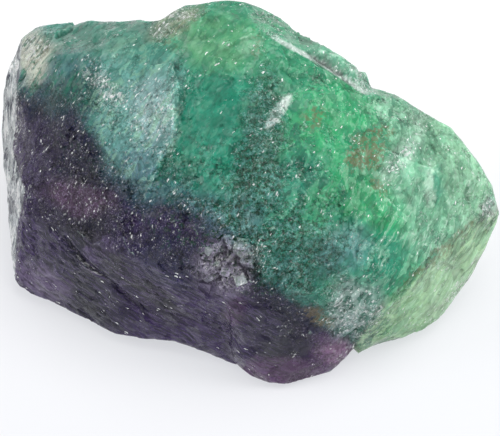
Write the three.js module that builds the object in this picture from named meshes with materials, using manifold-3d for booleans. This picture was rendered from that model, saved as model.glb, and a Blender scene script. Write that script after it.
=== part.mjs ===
// Rough fluorite: one broken lump of green and purple fluorite that rests on a flat cleavage face.
// Millimetres, +Z up. The origin is under the middle of the stone, on the surface it rests on.
import * as THREE from "three";
import Module from "manifold-3d";
import { ConvexGeometry } from "three/addons/geometries/ConvexGeometry.js";
import { mergeVertices } from "three/addons/utils/BufferGeometryUtils.js";
import { ImprovedNoise } from "three/addons/math/ImprovedNoise.js";

// ---------------------------------------------------------------- driving dimensions
const SHOW_SIDE_LEAN = THREE.MathUtils.degToRad(50); // lean of the plane that the show side is drawn on
const REST_HEIGHT = 0; // the cleavage face that the stone rests on

const LONGEST_EDGE = 3.9; // the skin is split until no triangle side is longer
const SWELL = { wavelength: 15, height: 0.8 }; // slow rise and fall of the skin
const LUMPS = { wavelength: 5.5, height: 0.45 }; // finer lumpiness on top of it
const CALM_FOOT = 3; // the rise and fall fades out this close to the resting face
const SLIVER = 0.04; // edges shorter than this are closed up
const HACKLE = 0.16; // chance shift of each skin point, as a share of its shortest edge

const EDGE_BREAKS = 26; // flats knocked off the corners and edges of each mass
const BREAK_DEPTH = 0.7; // deepest of them

const LEDGE_RISE = 1.0; // step beside the cloudy patch
const PARTING = { width: 2.6, depth: 0.8 }; // long groove on the streaked wall
const CREASE = { width: 1.6, depth: 0.5 }; // groove along the crease of the right end
const POCKET_DEPTH = 1.8; // hollow with the small crystals
const CRYSTAL_SIZE = [1.2, 2.6]; // smallest and largest of them
const TERRACE_STEP = 1.6; // cleavage steps on the back and the ends

// One crystal lattice runs through the whole lump, so every cleavage step follows it.
const LATTICE = new THREE.Quaternion().setFromEuler(new THREE.Euler(0.62, -0.28, 0.45));

const wasm = await Module();
wasm.setup();

// ---------------------------------------------------------------- seeded chance
THREE.MathUtils.seededRandom(20);
const between = (low, high) => low + (high - low) * THREE.MathUtils.seededRandom();

function anyDirection() {
  const z = between(-1, 1);
  const turn = between(0, 2 * Math.PI);
  const ring = Math.sqrt(1 - z * z);
  return new THREE.Vector3(ring * Math.cos(turn), ring * Math.sin(turn), z);
}

// ---------------------------------------------------------------- from three.js to solids and back
function solidOf(geometry) {
  const bare = geometry.clone();
  bare.deleteAttribute("normal");
  bare.deleteAttribute("uv");
  const merged = mergeVertices(bare, 1e-4);
  return new wasm.Manifold(
    new wasm.Mesh({
      numProp: 3,
      vertProperties: merged.attributes.position.array,
      triVerts: new Uint32Array(merged.index.array),
    }),
  );
}

function geometryOf(solid) {
  const mesh = solid.getMesh();
  const geometry = new THREE.BufferGeometry();
  geometry.setAttribute("position", new THREE.BufferAttribute(mesh.vertProperties.slice(), 3));
  geometry.setIndex(new THREE.BufferAttribute(mesh.triVerts.slice(), 1));
  return geometry;
}

const lump = (corners) => solidOf(new ConvexGeometry(corners));

// A block of the lattice: size along its three cube directions, middle, and a small turn of its own.
function latticeBlock(size, middle, turn = new THREE.Quaternion()) {
  const place = new THREE.Matrix4().compose(middle, LATTICE.clone().multiply(turn), new THREE.Vector3(1, 1, 1));
  return solidOf(new THREE.BoxGeometry(...size).applyMatrix4(place));
}

// ---------------------------------------------------------------- corners
// A corner of the show side: how far across and up the leaning plane it is seen, and its height.
function seen(across, up, height) {
  const back = (up - height * Math.cos(SHOW_SIDE_LEAN)) / Math.sin(SHOW_SIDE_LEAN);
  return new THREE.Vector3(across, back, height);
}

// A corner that the show side hides.
function hidden(x, y, z) {
  return new THREE.Vector3(x, y, z);
}

// Knocks small flats off a convex mass: each is square to a chance direction and just inside its
// furthest corner. The underside is left alone.
function breakEdges(corners) {
  let solid = lump(corners);
  for (let i = 0; i < EDGE_BREAKS; i++) {
    const way = anyDirection();
    if (way.z < -0.1) way.z *= -1;
    const reach = Math.max(...corners.map((corner) => corner.dot(way)));
    const depth = BREAK_DEPTH * between(0.2, 1);
    solid = solid.trimByPlane(way.clone().negate().toArray(), depth - reach);
  }
  return solid;
}

// ---------------------------------------------------------------- the masses that grew together
// The heart carries the crown, the broad face below it, the top of the streaked wall and the back.
function heart() {
  const crown = [
    seen(-11, 31, 38.5),
    seen(-8.5, 31.2, 40),
    seen(-4.5, 31.8, 41),
    seen(-1.5, 31.3, 41),
    seen(0, 29.3, 41),
  ];
  const ridge = [
    seen(-8.5, 29.5, 41),
    seen(-16.5, 25.5, 38),
    seen(-21.5, 23.5, 36.5),
    seen(-25.5, 22.5, 35.5),
    seen(-31.5, 21.5, 32.5),
    seen(-37, 18.5, 28),
  ];
  const shelfRim = [
    seen(-39, 26.5, 25),
    seen(-37.3, 28, 26.5),
    seen(-33.5, 28.2, 28.5),
    seen(-28.5, 28.2, 30),
    seen(-25.5, 28.8, 31),
    seen(-19, 29.4, 32.5),
    seen(-16, 29.2, 33.5),
  ];
  const leftRim = [
    seen(-40.3, 23.4, 23.5),
    seen(-41.9, 18.2, 21),
    seen(-41.6, 13.5, 19),
    seen(-41.7, 11, 17.5),
    seen(-40.9, 4, 15),
    seen(-40.2, -2, 12),
    seen(-39.2, -7, 9),
  ];
  const bevelRim = [seen(3.8, 28.3, 38), seen(9.4, 26.9, 36), seen(17.3, 23.5, 33), seen(20.2, 18.3, 31)];
  const bevelFoot = [seen(2, 26.5, 42), seen(11.5, 21, 38.5), seen(18.5, 16.5, 34.5)];
  const broadFace = [
    seen(-3.5, 20.5, 41),
    seen(-13.5, 12, 36),
    seen(1, 8, 38),
    seen(8.5, 13.5, 38.5),
    seen(-28.5, 12, 31.5),
    seen(-26.5, 0.5, 27),
    seen(-16.5, -1.5, 30),
    seen(-8.5, -8, 28.5),
    seen(3.5, -6.5, 32),
    seen(15, 3.5, 34),
    seen(13.5, -8, 28.5),
    seen(10, -16.5, 21.5),
    seen(22.5, 7, 31.8),
    seen(22.5, -4.5, 27),
    seen(20, -13, 22),
  ];
  const wallTop = [
    seen(-37, -4, 17.5),
    seen(-31.5, -4, 20.5),
    seen(-20, -11, 21.5),
    seen(-8.5, -15.5, 20.5),
    seen(-1.5, -17.5, 19.5),
    seen(8.5, -21.5, 15),
    seen(16, -24.5, 9),
    seen(20.5, -20.5, 13.8),
  ];
  const wallToe = [
    seen(-39.6, -14, 4),
    seen(-39.2, -16.1, 3),
    seen(-36.1, -18.1, 2),
    seen(-30, -20.5, 2),
    seen(-24.5, -22.8, 2),
    seen(-22, -24.3, 2),
    seen(-18, -25.4, 2),
    seen(-4.5, -28.8, 1.5),
    seen(-1.8, -29.3, 1.5),
  ];
  const back = [
    hidden(-33, 16, 18),
    hidden(-20, 17.5, 21),
    hidden(0, 16.5, 23),
    hidden(15, 8.5, 20),
    hidden(-34, 13, REST_HEIGHT),
    hidden(-10, 17, REST_HEIGHT),
    hidden(8, 14, REST_HEIGHT),
    hidden(22, 4, REST_HEIGHT),
  ];
  const foot = [
    hidden(-36, -19, REST_HEIGHT),
    hidden(-20, -30, REST_HEIGHT),
    hidden(-4, -34.5, REST_HEIGHT),
    hidden(8, -34, REST_HEIGHT),
    hidden(22, -26, REST_HEIGHT),
  ];
  return breakEdges([
    ...crown,
    ...ridge,
    ...shelfRim,
    ...leftRim,
    ...bevelRim,
    ...bevelFoot,
    ...broadFace,
    ...wallTop,
    ...wallToe,
    ...back,
    ...foot,
  ]);
}

// The pale right end: a rounded tip, and the glassy facet tucked under its crease.
function rightEnd() {
  const rim = [
    seen(20.5, 17, 32),
    seen(24.2, 15.7, 31),
    seen(27.5, 13.7, 29.5),
    seen(31.9, 10.6, 27.5),
    seen(35, 8.7, 25.5),
    seen(37.9, 5.2, 22.5),
    seen(39.9, 2.6, 20.5),
    seen(40.9, 0, 19.5),
    seen(41.9, -3.6, 17),
  ];
  const face = [
    seen(18.5, 16.5, 34.5),
    seen(22.5, 7, 32),
    seen(30, 2, 27),
    seen(22.5, -4.5, 27),
    seen(29, -6.5, 22.5),
    seen(20, -13, 22),
    seen(34, 0.5, 23),
    seen(15, 3.5, 33.5),
    seen(13.5, -8, 28),
  ];
  const crease = [
    seen(36.7, -5.5, 19),
    seen(31.5, -9.7, 19.5),
    seen(25, -16.2, 17.5),
    seen(20.5, -20.7, 14),
    seen(17, -25.5, 6.5),
  ];
  const facetFoot = [
    seen(39.9, -6.2, 14),
    seen(39.4, -10.4, 10),
    seen(38, -14.2, 7),
    seen(36.5, -17.4, 5),
    seen(33.4, -21, 3.5),
    seen(31.5, -22.2, 3),
    seen(27, -24, 3),
    seen(21.2, -26.8, 2.5),
    seen(18.2, -27.7, 3),
  ];
  const back = [
    hidden(30, -3, 16),
    hidden(37, -9, 12),
    hidden(31, -6, REST_HEIGHT),
    hidden(34, -16, REST_HEIGHT),
    hidden(30, -24, REST_HEIGHT),
    hidden(20, -29, REST_HEIGHT),
  ];
  const inside = [hidden(5, 5, 20), hidden(5, -20, REST_HEIGHT), hidden(8, 0, REST_HEIGHT)];
  return breakEdges([...rim, ...face, ...crease, ...facetFoot, ...back, ...inside]);
}

// The purple lobe that bulges at the bottom of the show side.
function purpleLobe() {
  const edge = [
    seen(-2, -29, 2.5),
    seen(0.5, -31.2, 1.5),
    seen(3.5, -32.3, 1.5),
    seen(6.5, -32.3, 1.5),
    seen(10, -31.5, 1.5),
    seen(13.7, -30.4, 1.5),
    seen(15.2, -28.7, 3),
    seen(16.2, -27.4, 4.5),
    seen(18, -26.4, 6),
  ];
  const shoulder = [seen(-3, -20, 17), seen(2, -19.5, 17.8), seen(8.5, -21.7, 15), seen(15, -24.8, 9.5)];
  const foot = [hidden(1, -40, REST_HEIGHT), hidden(12, -38, REST_HEIGHT)];
  const inside = [hidden(-8, -22, 8), hidden(-6, -15, REST_HEIGHT), hidden(16, -15, REST_HEIGHT), hidden(5, -15, 18)];
  return breakEdges([...edge, ...shoulder, ...foot, ...inside]);
}

// ---------------------------------------------------------------- places on the skin
const LOOK = new THREE.Vector3(0, Math.cos(SHOW_SIDE_LEAN), -Math.sin(SHOW_SIDE_LEAN));

function skinFinder(solid) {
  const target = new THREE.Mesh(geometryOf(solid), new THREE.MeshBasicMaterial());
  const ray = new THREE.Raycaster();
  const hit = (from, way) => {
    ray.set(from, way);
    const [first] = ray.intersectObject(target);
    if (!first) throw new Error("no skin at " + from.toArray());
    return { point: first.point, normal: first.face.normal };
  };
  return {
    // where the show side is met, looking square onto the leaning plane
    shown: (across, up) => hit(seen(across, up, 0).addScaledVector(LOOK, -150), LOOK.clone()),
    // where the skin is met, looking level towards the middle from a compass turn and a height
    around: (degrees, z) => {
      const turn = THREE.MathUtils.degToRad(degrees);
      const out = new THREE.Vector3(Math.sin(turn), -Math.cos(turn), 0);
      return hit(new THREE.Vector3(0, -12, z).addScaledVector(out, 150), out.negate());
    },
  };
}

// ---------------------------------------------------------------- ledges, groove, pocket and chips
// A thin plate left standing on the broad face, with its free edge along the cloudy patch.
function ledge(skin) {
  const freeEdge = [[-12.5, 20], [-10.8, 16], [-11.2, 8.7], [-13, 6.2], [-14.7, 4.5], [-15, 0.3]];
  const rootEdge = [[-22, 20], [-27, 10], [-24, 2]];
  const corners = [];
  for (const [across, up] of freeEdge) {
    const { point, normal } = skin.shown(across, up);
    corners.push(point.clone().addScaledVector(normal, LEDGE_RISE));
    corners.push(point.clone().addScaledVector(normal, -2));
  }
  for (const [across, up] of rootEdge) {
    const { point, normal } = skin.shown(across, up);
    corners.push(point.clone().addScaledVector(normal, 0.1));
    corners.push(point.clone().addScaledVector(normal, -2));
  }
  return lump(corners);
}

// Takes off whatever the show side would see inside a profile of [across, up] corners. The flat
// faces that this leaves run square to the leaning plane, turned by a small tilt.
function squareCut(profile, tilt) {
  const near = profile.map(([across, up]) => seen(across, up, 0).addScaledVector(LOOK, -80));
  const far = profile.map(([across, up]) => seen(across, up + tilt, 0).addScaledVector(LOOK, 80));
  return lump([...near, ...far]);
}

// The low stretch of rim between the shelf and the crown.
const rimNotch = () => squareCut([[-30, 28], [-14.6, 28.1], [-10.7, 30.9], [-13, 37], [-30, 37]], -0.5);

// The shallow arch under the streaked wall, left of the lobe.
const footArch = () => {
  const arch = [[-23.5, -24.2], [-18.3, -25.2], [-14, -25.2], [-11.9, -25.6], [-9.8, -26.3], [-1.9, -29.6]];
  return squareCut([...arch, [-1.9, -36], [-23.5, -36]], 0.4);
};

// A wedge sunk along a line on the show side.
function groove(skin, line, { width, depth }) {
  const places = line.map(([across, up]) => skin.shown(across, up));
  const sections = places.map(({ point, normal }, i) => {
    const a = places[Math.max(i - 1, 0)].point;
    const b = places[Math.min(i + 1, places.length - 1)].point;
    const side = b.clone().sub(a).cross(normal).normalize();
    const ends = i === 0 || i === places.length - 1;
    const reach = ends ? 0.3 : 1;
    return [
      point.clone().addScaledVector(side, (reach * width) / 2).addScaledVector(normal, 0.6),
      point.clone().addScaledVector(side, (-reach * width) / 2).addScaledVector(normal, 0.6),
      point.clone().addScaledVector(side, 0.2 * width).addScaledVector(normal, -reach * depth),
    ];
  });
  const parts = [];
  for (let i = 1; i < sections.length; i++) parts.push(lump([...sections[i - 1], ...sections[i]]));
  return parts;
}

// The hollow on the show side, and the blocky crystals that line it.
function pocket(skin) {
  const hollows = [];
  const crystals = [];
  for (const [across, up, size] of [[-4.5, -10.5, 5], [-1.5, -12.5, 5.5], [-4, -14, 4]]) {
    const { point, normal } = skin.shown(across, up);
    const middle = point.clone().addScaledVector(normal, size / 2 - POCKET_DEPTH);
    hollows.push(latticeBlock([size, size, size], middle));
  }
  for (let i = 0; i < 16; i++) {
    const { point, normal } = skin.shown(between(-7, 1), between(-15.5, -8.5));
    const size = between(...CRYSTAL_SIZE);
    const tilt = new THREE.Quaternion().setFromAxisAngle(anyDirection(), between(0, 0.5));
    const middle = point.clone().addScaledVector(normal, -between(0.3, 1) * (POCKET_DEPTH - 0.5));
    crystals.push(latticeBlock([size, size * between(0.7, 1), size], middle, tilt));
  }
  return { hollows, crystals };
}

// A flat bite: a lattice block laid on the skin, on whichever of its faces lies flattest there,
// and sunk by a depth.
function flatBite({ point, normal }, size, depth) {
  const ways = [];
  for (const [x, y, z] of [[1, 0, 0], [0, 1, 0], [0, 0, 1]]) {
    const axis = new THREE.Vector3(x, y, z).applyQuaternion(LATTICE);
    ways.push(axis, axis.clone().negate());
  }
  const flattest = ways.reduce((best, way) => (way.dot(normal) > best.dot(normal) ? way : best));
  return latticeBlock([size, size, size], point.clone().addScaledVector(flattest, size / 2 - depth));
}

// Cleavage terraces down the back and the two ends.
function terraces(skin) {
  const places = [
    [160, 27, 24],
    [176, 20, 20],
    [192, 11, 19],
    [215, 20, 22],
    [232, 10, 16],
    [140, 14, 18],
    [122, 7, 15],
    [105, 12, 12],
    [260, 8, 12],
    [182, 5, 14],
  ];
  return places.map(([turn, height, size]) => {
    return flatBite(skin.around(turn, height), size, TERRACE_STEP * between(0.5, 1.2));
  });
}

// Bruised flats on the rim of the upper left shelf.
function chips(skin) {
  const places = [
    [-35, 23.5, 4],
    [-31, 26, 3],
    [-38.5, 19.5, 3],
  ];
  return places.map(([across, up, size]) => flatBite(skin.shown(across, up), size, BREAK_DEPTH * between(0.6, 1)));
}

// ---------------------------------------------------------------- the skin
// Splits every edge that is too long at its middle, so that the skin can follow the swells.
function refine(geometry, longest) {
  const points = [];
  const position = geometry.attributes.position;
  for (let i = 0; i < position.count; i++) {
    points.push(new THREE.Vector3().fromBufferAttribute(position, i));
  }
  let triangles = [];
  for (let i = 0; i < geometry.index.count; i += 3) {
    triangles.push([geometry.index.getX(i), geometry.index.getX(i + 1), geometry.index.getX(i + 2)]);
  }
  const middles = new Map();
  const middleOf = (a, b) => {
    const key = Math.min(a, b) + "_" + Math.max(a, b);
    if (!middles.has(key)) {
      middles.set(key, points.length);
      points.push(new THREE.Vector3().lerpVectors(points[a], points[b], 0.5));
    }
    return middles.get(key);
  };
  for (;;) {
    const next = [];
    for (const corners of triangles) {
      const lengths = corners.map((c, k) => points[c].distanceTo(points[corners[(k + 1) % 3]]));
      const k = lengths.indexOf(Math.max(...lengths));
      if (lengths[k] <= longest) {
        next.push(corners);
        continue;
      }
      const [a, b, c] = [corners[k], corners[(k + 1) % 3], corners[(k + 2) % 3]];
      const m = middleOf(a, b);
      next.push([a, m, c], [m, b, c]);
    }
    if (next.length === triangles.length) return { points, triangles };
    triangles = next;
  }
}

const noise = new ImprovedNoise();

function drift(p, wavelength, shift) {
  return noise.noise(p.x / wavelength + shift, p.y / wavelength - shift, p.z / wavelength + 2 * shift);
}

function shortestEdges({ points, triangles }) {
  const shortest = new Float64Array(points.length).fill(Infinity);
  for (const corners of triangles) {
    for (let k = 0; k < 3; k++) {
      const [a, b] = [corners[k], corners[(k + 1) % 3]];
      const length = points[a].distanceTo(points[b]);
      shortest[a] = Math.min(shortest[a], length);
      shortest[b] = Math.min(shortest[b], length);
    }
  }
  return shortest;
}

function roughen({ points, triangles }) {
  const room = shortestEdges({ points, triangles });
  const moved = points.map((p, i) => {
    const push = anyDirection().multiplyScalar(HACKLE * room[i]);
    for (const { wavelength, height } of [SWELL, LUMPS]) {
      push.x += height * drift(p, wavelength, 11.3);
      push.y += height * drift(p, wavelength, 37.9);
      push.z += height * drift(p, wavelength, 71.7);
    }
    const calm = THREE.MathUtils.smoothstep(p.z, REST_HEIGHT, REST_HEIGHT + CALM_FOOT);
    return p.clone().addScaledVector(push, calm);
  });
  const geometry = new THREE.BufferGeometry();
  geometry.setAttribute("position", new THREE.Float32BufferAttribute(moved.flatMap((p) => p.toArray()), 3));
  geometry.setIndex(triangles.flat());
  return geometry;
}

// ---------------------------------------------------------------- the stone
const join = (parts) => parts.reduce((whole, part) => whole.add(part));
const cut = (whole, parts) => parts.reduce((rest, part) => rest.subtract(part), whole);

// Drops slivers and crumbs, and fills any hollow that the crystals happened to seal.
function outerSkin(solid) {
  const shells = solid.simplify(SLIVER).decompose();
  return shells.reduce((largest, shell) => (shell.volume() > largest.volume() ? shell : largest));
}

function stone() {
  let body = join([cut(heart(), [footArch(), rimNotch()]), rightEnd(), purpleLobe()]);
  const skin = skinFinder(body);
  const { hollows, crystals } = pocket(skin);
  const parting = groove(skin, [[-33, -6], [-28, -10.5], [-22.5, -15.5], [-17.5, -20], [-14, -23]], PARTING);
  const crease = groove(skin, [[37, -5], [31.5, -9.8], [25, -16.4], [20.5, -21]], CREASE);
  body = join([body, ledge(skin)]);
  body = cut(body, [...terraces(skin), ...chips(skin), ...parting, ...crease]);
  body = join([cut(body, hollows), ...crystals]);
  const geometry = roughen(refine(geometryOf(outerSkin(body)), LONGEST_EDGE));
  geometry.computeBoundingBox();
  const { min, max } = geometry.boundingBox;
  geometry.translate(-(min.x + max.x) / 2, -(min.y + max.y) / 2, -min.z);
  return geometry;
}

const fluoriteMaterial = new THREE.MeshStandardMaterial({
  color: new THREE.Color(0.33, 0.52, 0.46),
  roughness: 0.35,
  metalness: 0,
});

const chunk = new THREE.Mesh(stone(), fluoriteMaterial);
chunk.name = "fluorite_chunk";

const model = new THREE.Group();
model.add(chunk);

export default model;
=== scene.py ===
# %% [markdown]
# # A rough lump of fluorite
# This lesson dresses one broken stone. The solid model already has its main masses, ledges and
# flats. What is missing is everything a hand would feel and an eye would call mineral: the fine
# break of the skin, the little cube-shaped crystals, the colour zones and the way light sinks in.
# First the frame is loaded. It holds the solid, and every piece made here has to fit it.

import math

import bpy
from mathutils import Euler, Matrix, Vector


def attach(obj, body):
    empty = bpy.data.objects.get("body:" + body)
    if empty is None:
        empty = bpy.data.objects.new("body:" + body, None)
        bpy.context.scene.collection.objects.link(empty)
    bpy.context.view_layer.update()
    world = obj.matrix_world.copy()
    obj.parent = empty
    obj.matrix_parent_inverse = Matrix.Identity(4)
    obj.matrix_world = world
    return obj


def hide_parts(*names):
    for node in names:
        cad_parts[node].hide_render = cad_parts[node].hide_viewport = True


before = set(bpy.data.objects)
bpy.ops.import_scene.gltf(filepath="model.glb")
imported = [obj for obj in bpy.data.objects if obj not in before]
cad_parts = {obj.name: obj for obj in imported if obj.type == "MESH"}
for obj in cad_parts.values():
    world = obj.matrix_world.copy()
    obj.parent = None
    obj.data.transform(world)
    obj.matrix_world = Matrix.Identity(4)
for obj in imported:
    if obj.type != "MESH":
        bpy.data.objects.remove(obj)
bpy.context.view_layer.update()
MM = 0.001
LUMP = "fluorite_chunk"

# %% [markdown]
# ## Two small tools for node trees
# Colour zones and relief are both sums of many little fields. Written as loose nodes they are hard
# to read, so a field here is a Python value that can be added, multiplied and divided, and each
# step quietly adds its Math node. The same tools serve shader trees and Geometry Nodes trees.


# %% Fields that can be reckoned with
class Field:
    """One number or vector that varies over the stone: a node's output socket."""

    def __init__(self, desk, socket):
        self.desk = desk
        self.socket = socket

    def math(self, operation, *values):
        """A Math node on one or more values."""
        return self.desk.node("ShaderNodeMath", {"operation": operation}, dict(enumerate(values)))

    def __add__(self, other):
        return self.math("ADD", self, other)

    def __sub__(self, other):
        return self.math("SUBTRACT", self, other)

    def __mul__(self, other):
        return self.math("MULTIPLY", self, other)

    def __truediv__(self, other):
        return self.math("DIVIDE", self, other)

    def __pow__(self, other):
        return self.math("POWER", self, other)

    def __radd__(self, other):
        return self.math("ADD", other, self)

    def __rsub__(self, other):
        return self.math("SUBTRACT", other, self)

    def __rmul__(self, other):
        return self.math("MULTIPLY", other, self)

    def __rtruediv__(self, other):
        return self.math("DIVIDE", other, self)

    def also(self, name):
        """Another output of the node that this field comes from."""
        return Field(self.desk, self.desk.pick(self.socket.node.outputs, name))


class Desk:
    """A node tree with one way to add a node."""

    def __init__(self, tree):
        self.tree = tree

    @staticmethod
    def pick(sockets, name):
        """A socket by its name or number. A node may hide sockets of the same name."""
        if isinstance(name, int):
            return sockets[name]
        return next(s for s in sockets if s.name == name and s.enabled)

    @staticmethod
    def set_stops(ramp, stops):
        """Gives a colour ramp its stops, each a position from 0 to 1 and a colour. The places come
        first, because the ramp keeps its stops in the order of their places."""
        ramp.interpolation = "EASE"
        while len(ramp.elements) < len(stops):
            ramp.elements.new(0.5)
        for element, (position, _) in zip(ramp.elements, stops):
            element.position = position
        for element, (_, colour) in zip(ramp.elements, stops):
            element.color = colour

    @staticmethod
    def set_points(mapping, places):
        """Draws a curve in straight stretches through places, each two numbers from 0 to 1."""
        points = mapping.curves[0].points
        while len(points) < len(places):
            points.new(0.5, 0.5)
        for point, place in zip(points, places):
            point.location = place
            point.handle_type = "VECTOR"
        mapping.update()

    def node(self, kind, settings=None, values=None, output=None):
        """Adds a node. Its settings come first, then a value or a link for each socket named. A
        list of fields goes into one joining socket."""
        made = self.tree.nodes.new(kind)
        for name, value in (settings or {}).items():
            if name == "stops":
                self.set_stops(made.color_ramp, value)
            elif name == "points":
                self.set_points(made.mapping, value)
            else:
                setattr(made, name, value)
        for name, value in (values or {}).items():
            socket = self.pick(made.inputs, name)
            for part in value if isinstance(value, list) else [value]:
                if isinstance(part, Field):
                    self.tree.links.new(part.socket, socket)
                else:
                    socket.default_value = part
        if not len(made.outputs):
            return made
        if output is None:
            return Field(self, next(s for s in made.outputs if s.enabled))
        return Field(self, self.pick(made.outputs, output))

    def vector(self, operation, a, b=None, output=None, scale=None):
        """A Vector Math node."""
        values = {0: a}
        if b is not None:
            values[1] = b
        if scale is not None:
            values["Scale"] = scale
        return self.node("ShaderNodeVectorMath", {"operation": operation}, values, output)

    def dot(self, a, b):
        """How far a reaches along b, as a number."""
        return self.vector("DOT_PRODUCT", a, b, "Value")

    def rise(self, value, low, high):
        """0 below low, 1 above high, and a smooth rise between. High may be the smaller."""
        values = {"Value": value, "From Min": low, "From Max": high}
        return self.node("ShaderNodeMapRange", {"interpolation_type": "SMOOTHSTEP"}, values)

    def noise(self, place, size, detail=2.0, roughness=0.5, output="Fac"):
        """Soft clouds of a size, from 0 to 1 and mostly near 0.5."""
        values = {"Vector": place, "Scale": 1 / size, "Detail": detail, "Roughness": roughness}
        return self.node("ShaderNodeTexNoise", {}, values, output)

    def cells(self, place, size, shape="MANHATTAN", output="Distance"):
        """A broken pattern of cells of a size."""
        values = {"Vector": place, "Scale": 1 / size}
        return self.node("ShaderNodeTexVoronoi", {"distance": shape}, values, output)

    def facets(self, place, size, slope, shape="MANHATTAN"):
        """Cells of a size as small flat planes. The height in mm, each plane with a tilt of its
        own, and a number from 0 to 1 that is the same all over one plane."""
        seed = self.cells(place, size, shape, "Position")
        tilt = self.vector("SUBTRACT", seed.also("Color"), (0.5,) * 3)
        height = self.dot(self.vector("SUBTRACT", place, seed), tilt) * (2 * slope)
        return height, self.node("ShaderNodeSeparateColor", {}, {"Color": seed.also("Color")}, "Red")

    def stir(self, place, size, reach, detail=2.0):
        """Places pushed about by a noise, up to about reach."""
        push = self.vector("SUBTRACT", self.noise(place, size, detail, output="Color"), (0.5,) * 3)
        return self.vector("ADD", place, self.vector("SCALE", push, scale=2 * reach))


print("ways to make a field:", [name for name in vars(Desk) if not name.startswith("_")])

# %% [markdown]
# ## Where things are on the stone
# The show side leans back, so its features are named by two distances on a leaning plane: across,
# and up the slope. Both are plain sums of the stone's own coordinates, so the zones run on through
# the stone as flat bands, the way fluorite really grows them, and the back gets its colours for
# free. A patch is a soft-edged oval on that plane.

# %% Places on the show side
LEAN = math.radians(50)
PLANE_OFFSET = (-0.4, -9.37)  # mm, from the stone's origin to the middle of the plane
FACING = (0, -math.cos(LEAN), math.sin(LEAN))


def on_show_side(right, up):
    """A direction drawn on the leaning plane, as a direction in the stone."""
    return (right, up * math.sin(LEAN), up * math.cos(LEAN))


def plane(desk, place):
    """Across and up on the leaning plane, in mm, of a place in mm."""
    across = desk.dot(place, on_show_side(1, 0)) + PLANE_OFFSET[0]
    up = desk.dot(place, on_show_side(0, 1)) + PLANE_OFFSET[1]
    return across, up


def oval_group():
    """A soft oval as a node group, so that each patch costs one node and not twenty."""
    group = bpy.data.node_groups.new("soft oval", "GeometryNodeTree")
    for label in ("Across", "Up", "Middle Across", "Middle Up", "Width", "Height", "Turn", "Soft"):
        group.interface.new_socket(label, in_out="INPUT", socket_type="NodeSocketFloat")
    group.interface.new_socket("Cover", in_out="OUTPUT", socket_type="NodeSocketFloat")
    desk = Desk(group)
    start = desk.node("NodeGroupInput")
    given = {s.name: Field(desk, s) for s in start.socket.node.outputs if s.name}
    cosine = given["Turn"].math("COSINE", given["Turn"])
    sine = given["Turn"].math("SINE", given["Turn"])
    right = given["Across"] - given["Middle Across"]
    up = given["Up"] - given["Middle Up"]
    along = (right * cosine + up * sine) / given["Width"]
    over = (up * cosine - right * sine) / given["Height"]
    reach = (along * along + over * over) ** 0.5
    cover = desk.rise(reach, 1 + given["Soft"], 1 - given["Soft"])
    desk.node("NodeGroupOutput", {}, {"Cover": cover})
    return group


OVAL = oval_group()
print("soft oval:", len(OVAL.nodes), "nodes")

# %% Patches, edges and lines


def patch(desk, spot, middle, size, turn=0.0, soft=0.45):
    """A soft oval: 1 inside, 0 outside. Turn is in degrees, from across towards up."""
    values = {
        "Across": spot[0],
        "Up": spot[1],
        "Middle Across": middle[0],
        "Middle Up": middle[1],
        "Width": size[0],
        "Height": size[1],
        "Turn": math.radians(turn),
        "Soft": soft,
    }
    return desk.node("GeometryNodeGroup", {"node_tree": OVAL}, values)


EDGE_REACH = 42  # mm, how far either way an edge may run from the middle of the plane


def beyond_edge(desk, along, out, path):
    """How far out from an edge drawn through a few points (along, out), in mm."""
    span = 2 * EDGE_REACH
    points = [((x + EDGE_REACH) / span, (y + EDGE_REACH) / span) for x, y in path]
    share = (along + EDGE_REACH) / span
    edge = desk.node("ShaderNodeFloatCurve", {"points": points}, {"Value": share})
    return out - (edge * span - EDGE_REACH)


def line_at(desk, value, level, width):
    """1 on the thin line where a value passes a level, 0 away from it."""
    gap = value - level
    return desk.rise(gap.math("ABSOLUTE", gap), width, width * 0.4)


def drawn_out(desk, place, along, length, width):
    """Moves places so that a texture of size 1 is drawn out along a direction."""
    way = tuple(Vector(along).normalized())
    shift = desk.vector("SCALE", way, scale=desk.dot(place, way) * (1 / length - 1 / width))
    return desk.vector("ADD", desk.vector("SCALE", place, scale=1 / width), shift)


print("edges reach", EDGE_REACH, "mm from the middle of the plane")

# %% [markdown]
# ## The crystal lattice
# Fluorite grows as cubes, and however rough the lump, its little faces keep to a few directions.
# That is why a broken crystal glitters in whole areas at once. The lattice is one turned frame for
# the whole stone, and the small facets of the finish are laid out in it.

# %% Lattice directions
LATTICE = Euler((0.62, -0.28, 0.45))
CUBE_WAYS = [(1, 0, 0), (0, 1, 0), (0, 0, 1)]


def lattice_way(way):
    """A direction of the lattice, as a direction in the stone."""
    turned = Vector(way).normalized()
    turned.rotate(LATTICE)
    return tuple(turned)


def in_lattice(desk, place):
    """Places as the lattice sees them."""
    parts = {name: desk.dot(place, lattice_way(way)) for name, way in zip("XYZ", CUBE_WAYS)}
    return desk.node("ShaderNodeCombineXYZ", {}, parts)


print("lattice:", [[round(part, 2) for part in lattice_way(way)] for way in CUBE_WAYS])

# %% [markdown]
# ## A fine skin to work on
# The solid is a few thousand flat triangles. For relief it needs an even net of small faces, and a
# voxel remesh gives that: it fills the solid with tiny cubes and wraps a new skin round them. A
# copy is used, because the solid itself must never change.

# %% Remesh a copy of the solid
VOXEL = 0.37 * MM


def fine_copy(node, name):
    """A copy of a solid under a new name, with the modifiers for an even net of small faces."""
    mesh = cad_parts[node].data.copy()
    mesh.name = name
    piece = bpy.data.objects.new(name, mesh)
    bpy.context.scene.collection.objects.link(piece)
    weld = piece.modifiers.new("weld", "WELD")
    weld.merge_threshold = 0.001 * MM
    remesh = piece.modifiers.new("remesh", "REMESH")
    remesh.mode = "VOXEL"
    remesh.voxel_size = VOXEL
    smooth = piece.modifiers.new("smooth", "SMOOTH")
    smooth.iterations = 1
    smooth.factor = 0.5
    return piece


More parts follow.
